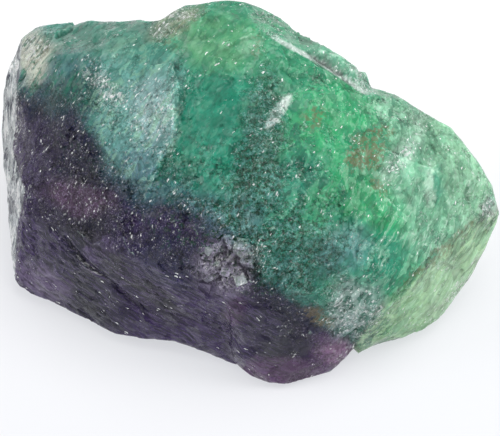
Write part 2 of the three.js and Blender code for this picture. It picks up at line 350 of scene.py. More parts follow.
def settle(piece):
    """Turns what the modifiers make into a plain mesh, and drops the modifiers."""
    graph = bpy.context.evaluated_depsgraph_get()
    mesh = bpy.data.meshes.new_from_object(piece.evaluated_get(graph), depsgraph=graph)
    mesh.name = piece.name
    piece.modifiers.clear()
    piece.data = mesh
    return piece


stone = settle(fine_copy(LUMP, "fluorite_stone"))
print("fine skin:", len(stone.data.vertices), "points,", len(stone.data.polygons), "faces")

# %% [markdown]
# ## Where each kind of break shows
# Fluorite breaks in three ways here. Most of the show side is hackly: thousands of small tilted
# facets. The steep purple wall is drawn out in streaks that run down to the right. The pale end has
# glassy cleavage steps that run down to the left. Each gets a mask, and both the relief and the
# colours use the same masks, so they always agree.

# %% Edges, as points on the leaning plane in mm
# across, then up
PURPLE_EDGE = [
    (-42, 16), (-32, 15), (-28, 10), (-22, 2), (-16, -2), (-8, -4),
    (-2, -8.5), (2, -15.5), (7, -18.5), (12, -23.5), (17, -27), (42, -40),
]
BEVEL_EDGE = [
    (-42, 41), (-3, 34), (1, 27.4), (4, 25.3), (11.7, 21.2), (18.7, 16.6),
    (20.6, 16.4), (22, 24), (42, 41),
]
CREASE = [
    (-42, -41), (15, -31), (17, -25.5), (20.8, -19.7), (25, -16.3), (31.7, -9.7),
    (36.7, -5.5), (42, -3),
]
# up, then across
CLOUD_EDGE = [
    (-42, -15), (0.3, -15), (4.5, -14.7), (6.2, -13), (9, -11.2), (16, -10.8),
    (22, -10), (42, -10),
]
SLIVER_EDGE = [
    (-42, -40), (-16, -39.8), (-7, -39.2), (-3.8, -38.4), (0.3, -37.3), (4.5, -39.2),
    (7, -39.9), (13.7, -39.4), (17.8, -39.5), (20, -39), (42, -39),
]
EDGES = (PURPLE_EDGE, BEVEL_EDGE, CREASE, CLOUD_EDGE, SLIVER_EDGE)
print("points on the edges:", [len(edge) for edge in EDGES])

# %% Regions
WALL_STREAKS = on_show_side(1, -0.66)
PALE_STREAKS = on_show_side(-0.62, -1)
KINDS = ("wall", "pale end", "grainy", "lace")


def regions(desk, place):
    """Masks from 0 to 1 for the kinds of break, and one for the crystal pocket."""
    spot = plane(desk, place)
    across, up = spot
    # the upper edge of the streaked wall, falling to the right
    edge = up + (across + 37) * 0.36 + 4
    wall = desk.rise(edge, 0.8, -0.8) * desk.rise(across, 10, 2)
    upright = patch(desk, spot, (1.5, 5), (4, 15), -6, 0.4)
    return {
        "wall": wall,
        "pale end": desk.rise(across + up * 0.3, 10, 24),
        "grainy": patch(desk, spot, (-9, 0), (30, 10), -24, 0.5),
        "lace": upright.math("MAXIMUM", upright, patch(desk, spot, (1, -9), (14, 8), -15, 0.4)),
        "pocket": patch(desk, spot, (-3.6, -12), (4.6, 4), 0, 0.3),
    }


print("kinds of break:", KINDS)

# %% [markdown]
# ## Relief with Geometry Nodes
# Broken crystal is made of flat cuts with sharp edges, never of soft dents. The tree makes them by
# one rule. It scatters seeds over the skin, lays a slightly tilted plane just under the skin at each
# seed, and pushes every point that stands above the plane of its nearest seed down onto it. The low
# side of a cut runs out into the skin and the high side ends in a step, as a real chip does. Where
# nearness is measured on a stretched map, the cuts come out as long splinters instead: down to the
# right on the wall, down to the left at the pale end. The underside is left alone.

# %% How a tree starts and ends
mineral = bpy.data.materials.new("fluorite")  # its nodes are added further down


def new_tree(name, inputs):
    """A Geometry Nodes tree with a Geometry in and out, and named number inputs."""
    tree = bpy.data.node_groups.new(name, "GeometryNodeTree")
    tree.interface.new_socket("Geometry", in_out="INPUT", socket_type="NodeSocketGeometry")
    tree.interface.new_socket("Geometry", in_out="OUTPUT", socket_type="NodeSocketGeometry")
    for label in inputs:
        tree.interface.new_socket(label, in_out="INPUT", socket_type="NodeSocketFloat")
    return tree


def started(tree):
    """A desk for the tree, and its inputs by name."""
    desk = Desk(tree)
    start = desk.node("NodeGroupInput")
    return desk, {s.name: Field(desk, s) for s in start.socket.node.outputs if s.name}


def stored(desk, skin, name, value, kind="FLOAT"):
    """The skin with a value kept at each point as an attribute."""
    settings = {"data_type": kind, "domain": "POINT"}
    values = {"Geometry": skin, "Name": name, "Value": value}
    return desk.node("GeometryNodeStoreNamedAttribute", settings, values)


def sent_out(desk, skin):
    """Ends a tree: real faces, all of the mineral."""
    whole = desk.node("GeometryNodeRealizeInstances", {}, {"Geometry": skin})
    values = {"Geometry": whole, "Material": mineral}
    dressed = desk.node("GeometryNodeSetMaterial", {}, values)
    desk.node("NodeGroupOutput", {}, {"Geometry": dressed})
    return desk.tree


def shaped(piece, tree, sizes):
    """The piece after one Geometry Nodes tree with its named sizes, as a plain mesh."""
    modifier = piece.modifiers.new(tree.name, "NODES")
    modifier.node_group = tree
    for item in tree.interface.items_tree:
        if item.name in sizes:
            modifier[item.identifier] = sizes[item.name]
    return settle(piece)


print("every tree sets the material:", mineral.name)

# %% Flat cuts
TRIES = 3  # seeds tried for each one that finds room
UNDER_SKIN = 0.2  # how far under the skin a plane lies at its seed, as a share of the deepest cut


def cut_flat(desk, skin, name, spacing, tilt, limit, share, seed, streaks=None):
    """The skin cut flat round scattered seeds, by at most limit in mm. Each cut's chance number is
    kept as an attribute. Streaks: direction, length and width of splinters, or None."""
    here = desk.node("GeometryNodeInputPosition")
    normal = desk.node("GeometryNodeInputNormal")
    metres = spacing * MM
    most = TRIES / (metres * metres)
    points = desk.node(
        "GeometryNodeDistributePointsOnFaces",
        {"distribute_method": "POISSON"},
        {"Mesh": skin, "Distance Min": metres, "Density Max": most, "Seed": seed},
        "Points",
    )
    lean = desk.node(
        "FunctionNodeRandomValue",
        {"data_type": "FLOAT_VECTOR"},
        {"Min": (-1, -1, -1), "Max": (1, 1, 1), "Seed": seed + 1},
    )
    way = desk.vector("ADD", points.also("Normal"), desk.vector("SCALE", lean, scale=tilt))
    seen, map_here = points, here
    if streaks:
        map_here = drawn_out(desk, here, *streaks)
        values = {"Geometry": points, "Position": map_here}
        seen = desk.node("GeometryNodeSetPosition", {}, values)
    values = {"Geometry": seen, "Sample Position": map_here}
    nearest = desk.node("GeometryNodeSampleNearest", {}, values)

    def at_seed(value, kind="FLOAT_VECTOR"):
        values = {"Geometry": points, "Value": value, "Index": nearest}
        return desk.node("GeometryNodeSampleIndex", {"data_type": kind}, values)

    plane_way = desk.vector("NORMALIZE", at_seed(way))
    above = desk.dot(desk.vector("SUBTRACT", here, at_seed(here)), plane_way) / MM
    values = {"Value": above + limit * UNDER_SKIN, "Min": 0.0, "Max": limit}
    depth = desk.node("ShaderNodeClamp", {}, values)
    # a face that looks another way than the plane is left alone
    agrees = desk.rise(desk.dot(normal, plane_way), 0.7, 0.9)
    offset = desk.vector("SCALE", plane_way, scale=depth * agrees * share * -MM)
    chance = desk.node("FunctionNodeRandomValue", {"data_type": "FLOAT"}, {"Seed": seed + 2})
    skin = stored(desk, skin, name, at_seed(chance, "FLOAT"))
    return desk.node("GeometryNodeSetPosition", {}, {"Geometry": skin, "Offset": offset})


print("a plane lies under the skin by", UNDER_SKIN, "of the deepest cut")

# %% Sizes of the cuts
# sizes and steps are in mm, and a tilt is the slope of a plane
CUTS = {
    "Face Size": 7.0,
    "Face Tilt": 0.09,
    "Face Step": 0.24,
    "Chip Size": 2.4,
    "Chip Tilt": 0.12,
    "Chip Step": 0.1,
    "Grain Size": 0.9,
    "Grain Tilt": 0.3,
    "Grain Step": 0.16,
    "Splinter Size": 1.1,
    "Splinter Tilt": 0.13,
    "Splinter Step": 0.16,
}
STRIP_OUT = 1.9 * MM  # how far the thin strip along the upper right edge stands out
print("sizes of the cuts:", CUTS)

# %% The relief tree


def strip_raised(desk, skin, place):
    """The skin with the thin glassy strip along the upper right edge raised."""
    across, up = plane(desk, place)
    strip = desk.rise(beyond_edge(desk, across, up, BEVEL_EDGE), -0.1, 0.5)
    strip = strip * desk.rise(across, 7.5, 13) * desk.rise(across, 18.6, 15.8)
    outwards = tuple(Vector(on_show_side(0.5, 0.86)) * STRIP_OUT)
    offset = desk.vector("SCALE", outwards, scale=strip)
    return desk.node("GeometryNodeSetPosition", {}, {"Geometry": skin, "Offset": offset})


def relief_tree():
    """The strip, then five kinds of flat cut, and nothing below the floor."""
    desk, size = started(new_tree("stone relief", CUTS))
    here = desk.node("GeometryNodeInputPosition")
    place = desk.vector("SCALE", here, scale=1 / MM)
    zone = regions(desk, desk.stir(place, 6, 0.6))
    above_foot = desk.rise(desk.dot(place, (0, 0, 1)), 0.3, 2.0)
    broken = above_foot * (1 - zone["wall"])
    skin = strip_raised(desk, size["Geometry"], place)
    for name in KINDS:
        skin = stored(desk, skin, name, zone[name])
    # each kind of cut has a fixed seed, so the stone breaks the same way every time
    for name, kind, wide, share, seed, streaks in [
        ("face", "Face", 1.0, above_foot * 0.9, 3, None),
        ("wall splinter", "Splinter", 1.0, above_foot * zone["wall"] * 0.85, 5, (WALL_STREAKS, 6, 1)),
        ("pale splinter", "Splinter", 1.8, above_foot * zone["pale end"] * 0.6, 7, (PALE_STREAKS, 3, 1)),
        ("chip", "Chip", 1.0, broken * 0.8, 9, None),
        ("grain", "Grain", 1.0, broken * zone["grainy"] * 0.8, 11, None),
    ]:
        spacing = size[kind + " Size"] * wide
        tilt, step = size[kind + " Tilt"], size[kind + " Step"]
        skin = cut_flat(desk, skin, name, spacing, tilt, step, share, seed, streaks)
    sunk = 0 - desk.dot(here, (0, 0, 1))
    lift = desk.node("ShaderNodeCombineXYZ", {}, {"Z": sunk.math("MAXIMUM", sunk, 0.0)})
    values = {"Geometry": skin, "Offset": lift}
    return sent_out(desk, desk.node("GeometryNodeSetPosition", {}, values))


stone = shaped(stone, relief_tree(), CUTS)
print("relief made on", len(stone.data.vertices), "points")

# %% [markdown]
# ## Fewer faces where it is flat
# The underside and the flat faces don't need the net as fine as the steps do. A Decimate modifier
# takes out points where the skin is flattest first, until the count fits.

# %% Thin the net
MOST_TRIANGLES = 190_000


def triangles(piece):
    """How many triangles a piece has."""
    piece.data.calc_loop_triangles()
    return len(piece.data.loop_triangles)


def thinned(piece, most):
    """The piece with at most so many triangles."""
    thin = piece.modifiers.new("thin", "DECIMATE")
    thin.ratio = most / triangles(piece)
    return settle(piece)


stone = thinned(stone, MOST_TRIANGLES)
print("stone:", triangles(stone), "triangles")

# %% [markdown]
# ## The colours of the mineral
# First the colour zones. They are broad and soft, so they need not be worked out again for every
# ray of light: a Geometry Nodes tree works them out once at each point of the skin and keeps them
# there as an attribute. The fine flakes, streaks, specks and glints come later, in the shader. The
# tones are named after what they are on the stone.

# %% Named tones
SHEEN = 0.034  # the white that the gloss adds to every tone in a bright room
LIGHT = 0.76  # how brightly a white surface would show in the same room
BLACKEST = 0.003  # no tone is darker than this


def tone(r, g, b):
    """A tone as an eye reads it off a screen, 0 to 255, as the linear colour that nodes want."""
    linear = []
    for value in (r, g, b):
        share = value / 255
        # the curve of every screen: a short straight stretch, then a power
        low = share <= 0.04045
        light = share / 12.92 if low else ((share + 0.055) / 1.055) ** 2.4
        linear.append(max((light - SHEEN) / LIGHT, BLACKEST))
    return (*linear, 1)


TONES = {
    "meadow": tone(98, 156, 116),
    "leaf": tone(66, 140, 106),
    "jade": tone(60, 138, 114),
    "emerald": tone(20, 120, 100),
    "deep green": tone(30, 96, 82),
    "black green": tone(34, 82, 68),
    "bright green": tone(64, 156, 106),
    "mint": tone(112, 166, 136),
    "far mint": tone(134, 180, 148),
    "cloud": tone(112, 160, 154),
    "cloud light": tone(158, 188, 190),
    "milky": tone(138, 182, 156),
    "shelf teal": tone(90, 134, 120),
    "teal slate": tone(66, 100, 108),
    "sea slate": tone(106, 138, 150),
    "chip teal": tone(108, 160, 156),
    "slate": tone(50, 56, 74),
    "night": tone(48, 44, 64),
    "violet": tone(66, 57, 86),
    "lilac": tone(104, 92, 124),
    "plum": tone(96, 76, 98),
    "magenta": tone(108, 82, 114),
    "rose": tone(178, 150, 172),
    "wine": tone(50, 38, 58),
    "stain": tone(118, 104, 80),
    "brown": tone(100, 80, 66),
    "beige": tone(154, 150, 130),
    "pale beige": tone(212, 210, 194),
    "frost": tone(190, 196, 198),
    "glass": tone(190, 212, 198),
    "glint": tone(250, 252, 252),
    "pale facet": tone(174, 203, 162),
    "bevel": tone(128, 172, 152),
    "vivid green": tone(20, 138, 92),
    "pale violet": tone(126, 114, 140),
    "pale lilac": tone(164, 152, 180),
    "grey veil": tone(158, 174, 176),
}
print("named tones:", len(TONES))

# %% Laying tones on and in rows


def mixed(desk, share, under, over):
    """Over laid on under by share. Both are colours."""
    values = {"Factor": share, "A": under, "B": over}
    return desk.node("ShaderNodeMix", {"data_type": "RGBA"}, values)


def toned(desk, colour, share, name):
    """A colour with a named tone laid on it by share."""
    return mixed(desk, share, colour, TONES[name])


def banding(desk, value, stops):
    """A row of tones along a value in mm. Each stop is a place in mm and the name of a tone."""
    low, high = -EDGE_REACH, EDGE_REACH
    row = [((at - low) / (high - low), TONES[name]) for at, name in stops]
    along = (value - low) / (high - low)
    return desk.node("ShaderNodeValToRGB", {"stops": row}, {0: along})


# down to the right, through the green
GREEN_BANDS = [
    (-38, "shelf teal"), (-20, "cloud"), (-10, "jade"), (0, "jade"), (10, "leaf"),
    (20, "bright green"), (27, "mint"), (38, "far mint"),
]
# across the purple
PURPLE_BANDS = [
    (-40, "violet"), (-27, "night"), (-15, "violet"), (-4, "violet"), (6, "night"), (14, "violet"),
]
print("bands:", len(GREEN_BANDS), "green and", len(PURPLE_BANDS), "purple")

# %% [markdown]
# ## Zones, bruises, calm and stains
# No crystal is banded evenly. Each list below is a set of soft ovals on the show side: patches of
# another tone, places where the skin is bruised white, glassy places where fine detail is calm, and
# places where iron has stained the stone brown.

# %% The zones
ZONES = [
    # tone, share, middle (across, up), half sizes, turn
    ("shelf teal", 0.9, (-24.5, 25.5), (12, 4.5), 8),
    ("teal slate", 0.7, (-30.5, 20), (5, 3.6), 0),
    ("slate", 0.8, (-31, 14.5), (6, 4), 0),
    ("emerald", 0.8, (-9.6, 12), (2.4, 5.5), 0),
    ("jade", 0.7, (-4, 9), (6, 8), 0),
    ("meadow", 0.9, (-4.5, 24.5), (8, 5), 0),
    ("beige", 0.65, (-12, 28), (4.4, 2.2), 35),
    ("leaf", 0.85, (8, 20), (9, 6), -25),
    ("deep green", 0.85, (1.5, 5), (3.2, 13), -6),
    ("bright green", 0.85, (13.5, 10), (7, 7), 0),
    ("emerald", 0.8, (7, 1.5), (6, 4), 35),
    ("vivid green", 0.6, (16, -1), (5, 5), 50),
    ("leaf", 0.6, (19, 6), (4, 4), 0),
    ("glass", 0.35, (25, 6), (6.5, 1.6), 49),
    # painted highlight along the crescent ridge
    ("glass", 0.5, (29.8, 1.6), (0.7, 3.4), -8),
    ("jade", 0.6, (31, 1.4), (0.6, 3.2), -8),
    ("frost", 0.6, (40, -3.4), (1.8, 1.6), 20),
    ("jade", 0.8, (21, -11.5), (6, 5), 20),
    ("emerald", 0.5, (22, -11.7), (3, 4), 0),
    ("sea slate", 0.6, (15, -9), (5, 4), 30),
    ("grey veil", 0.7, (17, -19), (5, 4.6), 20),
    ("teal slate", 0.5, (8.3, -12), (5, 5), 0),
    ("sea slate", 0.5, (-2, -4.5), (5, 4), 0),
    ("pale beige", 0.85, (-36.2, 23.5), (3, 4.6), 20),
    ("teal slate", 0.6, (-29.5, 16), (6, 3), 0),
    ("black green", 0.45, (-28.5, 16), (5, 3.4), 0),
    ("jade", 0.45, (9.5, -16.7), (4.5, 1.8), -20),
    ("plum", 0.8, (-28, -1.3), (6, 2.6), -15),
    ("lilac", 0.8, (-24.5, -9.8), (2.2, 2.4), -40),
    ("pale violet", 0.6, (-35, -15), (5, 2.4), -28),
    ("slate", 0.75, (-12, -11), (7, 4.4), -15),
    ("wine", 0.75, (-20, -13.5), (13, 1.3), -39),
    ("wine", 0.5, (-16, -18), (4.5, 2.6), -39),
    ("plum", 0.5, (-2, -19), (2, 2.4), -30),
    ("magenta", 0.8, (13.5, -26.5), (2.6, 3.6), 30),
    ("magenta", 0.7, (5.5, -30), (8, 2.2), 0),
    ("rose", 0.35, (14.6, -26), (2.4, 2.8), 30),
    ("pale lilac", 0.85, (-3.8, -12.2), (4.6, 4.2), 0),
]
print("zones:", len(ZONES))

# %% Bruises, calm places and stains
BRUISES = [
    # share, middle, half sizes, turn
    (1.0, (-36.2, 24.5), (2.6, 3.6), 30),
    (0.9, (-40, 14), (1.4, 10), 0),
    (1.0, (-39.2, 0), (1.6, 4.4), 0),
    (0.8, (-39.4, -10), (0.9, 6), 0),
    (1.0, (-24.5, 17.5), (6.5, 2), -38),
    (0.8, (-16, 12), (4, 7), 10),
    (0.9, (-12, 28), (4.4, 2.2), 35),
    (0.6, (4.5, 12.8), (3.4, 1.2), 54),
    (0.5, (12, 23.2), (11, 1.8), -31),
    (0.8, (16, 19.6), (5, 1.6), -33),
    (1.0, (25, 6), (6.5, 1.4), 49),
    (1.0, (39.8, -3.6), (2, 1.8), 0),
    (1.0, (17, -19), (5, 4.6), 20),
    (0.8, (1.9, -10.2), (1.6, 3), 0),
    (0.8, (33, -19), (9, 2.4), 42),
    (1.0, (16.8, -24.4), (0.9, 2.6), -30),
    (0.8, (-3.6, -12.4), (4.6, 4.2), 0),
    (0.6, (-2.4, -17.5), (1.4, 3.4), -30),
    (0.3, (-27, -2), (8, 2.6), -20),
]
CALM = [
    # share, middle, half sizes, turn
    (1.0, (1, 23), (15, 8), -22),
    (0.8, (-22, 26), (13, 5), 8),
    (0.8, (14, 10), (6, 9), 0),
    (0.7, (27, 0), (10, 16), -45),
    (0.6, (-6, 13), (6, 6), 0),
    (1.0, (33, -17), (10, 5), 42),
]
STAINS = [
    # share, middle, half sizes, turn
    (0.9, (18.7, 5.3), (4, 2.4), 25),
    (0.8, (20.3, 8.7), (3.6, 1.6), 15),
    (0.7, (10.3, 11.7), (2.4, 2.4), 0),
    (0.7, (21, 0.7), (2.4, 1.8), 0),
    (0.9, (10.8, -20.2), (3.6, 1.4), -15),
    (0.4, (-9.5, 28.5), (5, 1.6), 35),
    (0.5, (1.3, 24.3), (1.2, 2.4), -20),
    (0.5, (-13, 24.5), (2, 2), 0),
    (0.6, (31.3, -10.2), (9, 0.8), 40),
]


def covered(desk, spot, patches):
    """How far a place is covered by any patch of a list."""
    cover = None
    for share, middle, size, turn in patches:
        here = patch(desk, spot, middle, size, turn, 0.5) * share
        cover = here if cover is None else here.math("MAXIMUM", here, cover)
    return cover


print("bruises, calm places and stains:", len(BRUISES), len(CALM), len(STAINS))

# %% [markdown]
# ## The zone colour
# The tones are laid on from the broadest to the finest: the green bands, the cloudy patch with its
# straight right side and a painted shadow under its step, the purple that comes up from
# below, the patches, and last the crisp lines of the lower facet and the glassy strip, with a
# painted highlight along the strip's crest. The places are stirred a little first, so that no
# border is a clean oval.

# %% The cloudy patch and the sharp edges


def cloudy(desk, place, spot):
    """Masks for the cloudy patch, its lightest part, the dusk below and the painted shadow
    under its step.
    """
    sharp_across, sharp_up = plane(desk, desk.stir(place, 1.5, 0.5, 3))
    left = desk.rise(beyond_edge(desk, sharp_up, sharp_across, CLOUD_EDGE), 0.25, -0.25)
    cloud = patch(desk, spot, (-17.5, 12.5), (8.5, 11), -5, 0.8) * left
    veiled = patch(desk, spot, (-15.5, 13), (4, 5.5), 15) * left
    dusk = patch(desk, spot, (-18.5, 2.5), (7, 5.5), 0, 0.6) * left
    # painted shadow: deep green laid where the step shades the stone
    step_shadow = patch(desk, spot, (-12.3, 3.2), (3.4, 3.2), 20) * (1 - left)
    return cloud, veiled, dusk, step_shadow


def with_sharp_edges(desk, colour, place, across):
    """The colour with the lower facet, its crease and the strip laid on, a painted highlight
    along the strip's crest, and the strip's mask.
    """
    crease = beyond_edge(desk, *plane(desk, desk.stir(place, 2.5, 0.8, 3)), CREASE)
    pale_end = desk.rise(across, 15, 18)
    crest = beyond_edge(desk, *plane(desk, place), BEVEL_EDGE)
    # the strip's bevel tone reaches down over the shaded side of its step, painting light there
    strip = desk.rise(crest, -0.9, -0.5)
    # painted highlight: a glint white line along the crest of the strip
    crest_highlight = line_at(desk, crest, -0.2, 0.6) * desk.rise(across, 3, 6) * desk.rise(across, 20, 18)
    for name, share in [
        ("pale facet", desk.rise(crease, 0.2, -0.5) * pale_end * 0.7),
        ("brown", line_at(desk, crease, 0.5, 0.9) * pale_end * 0.4),
        ("bevel", strip * (0.2 + desk.rise(across, 4, 12) * 0.45)),
        ("glint", crest_highlight * 0.6),
    ]:
        colour = toned(desk, colour, share, name)
    return colour, strip


print("cloudy patch ends at", CLOUD_EDGE[3][1], "mm across")

# %% The zone colour and the marks
STIRS = [(8, 2.6, 3), (2.2, 1.0, 3), (0.9, 0.5, 2)]  # size, reach and detail of each


def zone_colour(desk, place):
    """The zone colour of each place in mm, and the marks that the material reads."""
    bent = place
    for size, reach, detail in STIRS:
        bent = desk.stir(bent, size, reach, detail)
    spot = plane(desk, bent)
    across, up = spot
    colour = banding(desk, across + up * 0.3, GREEN_BANDS)
    cloud, veiled, dusk, step_shadow = cloudy(desk, place, spot)
    above = beyond_edge(desk, across, up, PURPLE_EDGE)
    for name, share in [
        ("cloud", cloud * 0.9),
        ("cloud light", veiled * 0.7),
        ("sea slate", dusk * 0.85),
        # the painted shadow under the step
        ("deep green", step_shadow * 0.9),
        ("teal slate", desk.rise(above, 8, 2) * (1 - cloud * 0.7)),
        ("slate", desk.rise(above, 4, 0) * (1 - dusk * 0.6)),
    ]:
        colour = toned(desk, colour, share, name)
    purple = banding(desk, across, PURPLE_BANDS)
    colour = mixed(desk, desk.rise(above, 1.5, -4), colour, purple)
    for name, share, middle, size, turn in ZONES:
        colour = toned(desk, colour, patch(desk, spot, middle, size, turn) * share, name)
    colour, strip = with_sharp_edges(desk, colour, place, across)
    near = plane(desk, desk.stir(place, 1.2, 0.3, 3))
    tooth = patch(desk, near, (4.7, 12.8), (3.4, 0.9), 54, 0.15)
    colour = toned(desk, colour, tooth * 0.6, "glint")
    bruise = covered(desk, spot, BRUISES)
    marks = {
        "bruise": bruise.math("MAXIMUM", bruise, strip * 0.5),
        "cloud": cloud,
        "sliver": desk.rise(beyond_edge(desk, near[1], near[0], SLIVER_EDGE), 0.15, -0.05),
        "stain": covered(desk, spot, STAINS),
        "green": desk.rise(above, 0, 4),
        "calm": covered(desk, spot, CALM),
    }
    return colour, marks


print("places are stirred", len(STIRS), "times")

# %% [markdown]
# ## Ridges and hollows
# Broken edges are bruised and look whiter, and they also get a painted highlight; hollows get
# painted shade. Both come from one measure: how far each point stands out from the average of its
# neighbours. It is taken over a few neighbours for the ridge attribute, and over many for the brow
# attribute.

# %% Keep colours and ridges on the skin
BLURS = {"Ridge Rounds": 3.0, "Brow Rounds": 14.0}


def coloured(desk, skin, place, lift=0):
    """The skin with its zone colour and marks kept on it. Lift is a share of frost on top."""
    colour, marks = zone_colour(desk, place)
    for name, value in marks.items():
        skin = stored(desk, skin, name, value)
    return stored(desk, skin, "zone colour", toned(desk, colour, lift, "frost"), "FLOAT_COLOR")


def colour_tree():
    """Keeps the ridge and brow measures, in mm, and then the colours and marks."""
    desk, rounds = started(new_tree("stone colours", BLURS))
    here = desk.node("GeometryNodeInputPosition")
    normal = desk.node("GeometryNodeInputNormal")
    skin = rounds["Geometry"]
    for name, label in [("ridge", "Ridge Rounds"), ("brow", "Brow Rounds")]:
        values = {"Value": here, "Iterations": rounds[label]}
        blur = desk.node("GeometryNodeBlurAttribute", {"data_type": "FLOAT_VECTOR"}, values)
        out = desk.dot(desk.vector("SUBTRACT", here, blur), normal) / MM
        skin = stored(desk, skin, name, out)
    return sent_out(desk, coloured(desk, skin, desk.vector("SCALE", here, scale=1 / MM)))


stone = shaped(stone, colour_tree(), BLURS)
print("kept on the skin:", [a.name for a in stone.data.attributes if not a.name.startswith(".")])

# %% [markdown]
# ## The material
# Fluorite lets light in, scatters it at countless tiny cracks and lets it out again a few
# millimetres away, and part of it goes straight through. So the shader has a scattering share and a
# plain transmission share, both the same all over, with fluorite's refractive index. Only colour,
# roughness and the bump vary. Flakes, streaks, lace, specks and glints are laid over the zone
# colour one after the other, and each layer reads the masks that the trees kept on the skin.

# %% What the material reads
mineral.use_nodes = True
mineral.node_tree.nodes.clear()
desk = Desk(mineral.node_tree)
place = desk.vector("SCALE", desk.node("ShaderNodeTexCoord", {}, {}, "Object"), scale=1 / MM)


def kept(name, output="Fac"):
    """What a tree kept on the skin under a name."""
    return desk.node("ShaderNodeAttribute", {"attribute_name": name}, {}, output)


def tell(step):
    """Prints how many nodes the material has after a step."""
    print("material after", step + ":", len(mineral.node_tree.nodes), "nodes")


colour = kept("zone colour", "Color")
wall = kept("wall")
pale = kept("pale end")
grainy = kept("grainy")
lace = kept("lace")
bruise = kept("bruise")
stain = kept("stain")
green = kept("green")
cloud = kept("cloud")
calm = kept("calm")
ridge = kept("ridge")
busy = 1 - calm * 0.6
other = 1 - wall
dark = (1 - green) * other
tell("reading the skin")

# %% [markdown]
# ## Places drawn out, and noises
# A noise is round by nature. Looked up at places that are squeezed along one direction it becomes a
# streak, so the same noise gives splinters that run down to the right on the wall and flakes that
# run down to the left elsewhere. The other noises are the slow, the middle and the fine variation.

# %% Drawn out places
bent = desk.stir(place, 3, 0.7, 2)
# direction, length and width in mm
splinter = drawn_out(desk, bent, WALL_STREAKS, 6, 0.5)
sliver = drawn_out(desk, bent, WALL_STREAKS, 0.6, 0.18)
flake = drawn_out(desk, bent, PALE_STREAKS, 3.8, 1.2)
fleck = drawn_out(desk, bent, PALE_STREAKS, 0.9, 0.35)
spark = drawn_out(desk, bent, PALE_STREAKS, 0.45, 0.2)
long_band = drawn_out(desk, bent, PALE_STREAKS, 14, 2.4)
long_streak = drawn_out(desk, bent, PALE_STREAKS, 7, 0.45)
tell("the drawn out places")

# %% Noises
slow = desk.noise(place, 4.5, 3, 0.6)
mottle = desk.noise(place, 1.7, 4, 0.7)
grit = desk.noise(place, 0.26, 1, 0.6)
speck = desk.noise(place, 0.7, 4, 0.7)
blot = desk.noise(desk.stir(place, 0.6, 0.3, 2), 0.8, 4, 0.65)
line = desk.noise(splinter, 1.0, 3, 0.6)
veil = desk.noise(flake, 0.8, 4, 0.65)
band = desk.noise(long_band, 1.0, 3, 0.5)
streak = desk.noise(long_streak, 1.0, 2, 0.5)
tell("the noises")

# %% Where the break is sugary, and where it is loose
rough = (
    slow * 0.5
    + mottle * 0.5
    + lace * 0.1
    + bruise * 0.06
    + dark * 0.08
    - pale * 0.03
    - wall * 0.08
    - calm * 0.05
)
sugary = desk.rise(rough, 0.505, 0.56)
crumbling = desk.rise(slow + lace * 0.15 + grainy * 0.05, 0.5, 0.58)
loose = crumbling * (lace * 0.85 + grainy * 0.4) * other
tell("the sugary and loose places")

# %% Small flat planes, each with a tilt and a tone of its own
crystal = in_lattice(desk, place)
broad, broad_tone = desk.facets(crystal, 3.0, 0.4)
middle, middle_tone = desk.facets(crystal, 1.15, 0.6)
small, small_tone = desk.facets(crystal, 0.42, 0.8)
long, long_tone = desk.facets(flake, 1, 0.6)
split, split_tone = desk.facets(splinter, 1, 0.1)
tell("the facets")

# %% [markdown]
# ## Streaks, flakes and lace
# These are the middle-sized marks. On the wall they are lilac and wine streaks. In the green they
# are flakes with crisp edges, some clear and deep, some milky. Beside the dark step the stone is
# crushed to a lace of pale chips on a black green ground.

# %% Streaks on the wall
colour = toned(desk, colour, desk.rise(line, 0.54, 0.62) * wall * 0.3, "lilac")
colour = toned(desk, colour, desk.rise(line, 0.46, 0.38) * wall * 0.5, "wine")
tell("the streaks")

# %% Flakes in the green
kind = long_tone * 0.4 + (veil - 0.5) * 1.2 + 0.3
clear = desk.rise(kind, 0.46, 0.42) * green * (1 - cloud * 0.8)
milky = desk.rise(kind, 0.6, 0.64) * green * (0.12 + pale * busy * 0.4 + cloud * 0.5)
colour = toned(desk, colour, clear * (1 - pale) * busy * 0.75, "emerald")
colour = toned(desk, colour, clear * pale * busy * 0.35, "jade")
colour = toned(desk, colour, milky, "milky")
tell("the flakes")

# %% The lace
chip = blot + (small_tone - 0.5) * 0.1
colour = toned(desk, colour, desk.rise(chip, 0.53, 0.56) * loose * green * 0.5, "chip teal")
colour = toned(desk, colour, desk.rise(chip, 0.47, 0.43) * loose * 0.8, "black green")
tell("the lace")

# %% Salt and pepper where it is sugary
salt = desk.rise(grit, 0.58, 0.65) * sugary * other
pepper = desk.rise(grit, 0.44, 0.38) * sugary * other
grain_tone = mixed(desk, green, TONES["pale lilac"], TONES["frost"])
colour = mixed(desk, salt * (0.3 + bruise * 0.4), colour, grain_tone)
colour = toned(desk, colour, pepper * green * 0.55, "black green")
tell("salt and pepper")

# %% [markdown]
# ## Light and dark
# A tone alone looks painted. Each facet, band and streak is a little lighter or darker than the
# next. Ridges are lighter, partly bruise and partly painted highlight, and hollows are darker with
# painted shade. All of that is one sum round 1 that the colour is multiplied by.

# %% The sum of light and dark
DARKEST = 0.25  # no place is made darker than this share of its own tone
shades = (
    1
    - pepper * (1 - green) * 0.6
    + (band - 0.5) * pale * 1.2
    + (streak - 0.5) * (pale * busy * 0.9 + cloud * 0.6 + 0.2) * other
    + (slow - 0.5) * 0.8
    + (mottle - 0.5) * (0.3 - pale * 0.15 + sugary * 0.9)
    + (broad_tone - 0.5) * other * 0.2
    + (middle_tone - 0.5) * other * busy * 0.35
    + (small_tone - 0.5) * sugary * other * 0.7
    + (long_tone - 0.5) * other * busy * 0.35
    + (split_tone - 0.5) * wall * 0.2
    + (line - 0.5) * wall * 0.45
    # painted highlight on ridges, partly bruised white, and painted shade in hollows
    + ridge * 2.5
    + kept("brow") * 0.3
)
colour = desk.vector("SCALE", colour, scale=shades.math("MAXIMUM", shades, DARKEST))
tell("light and dark")
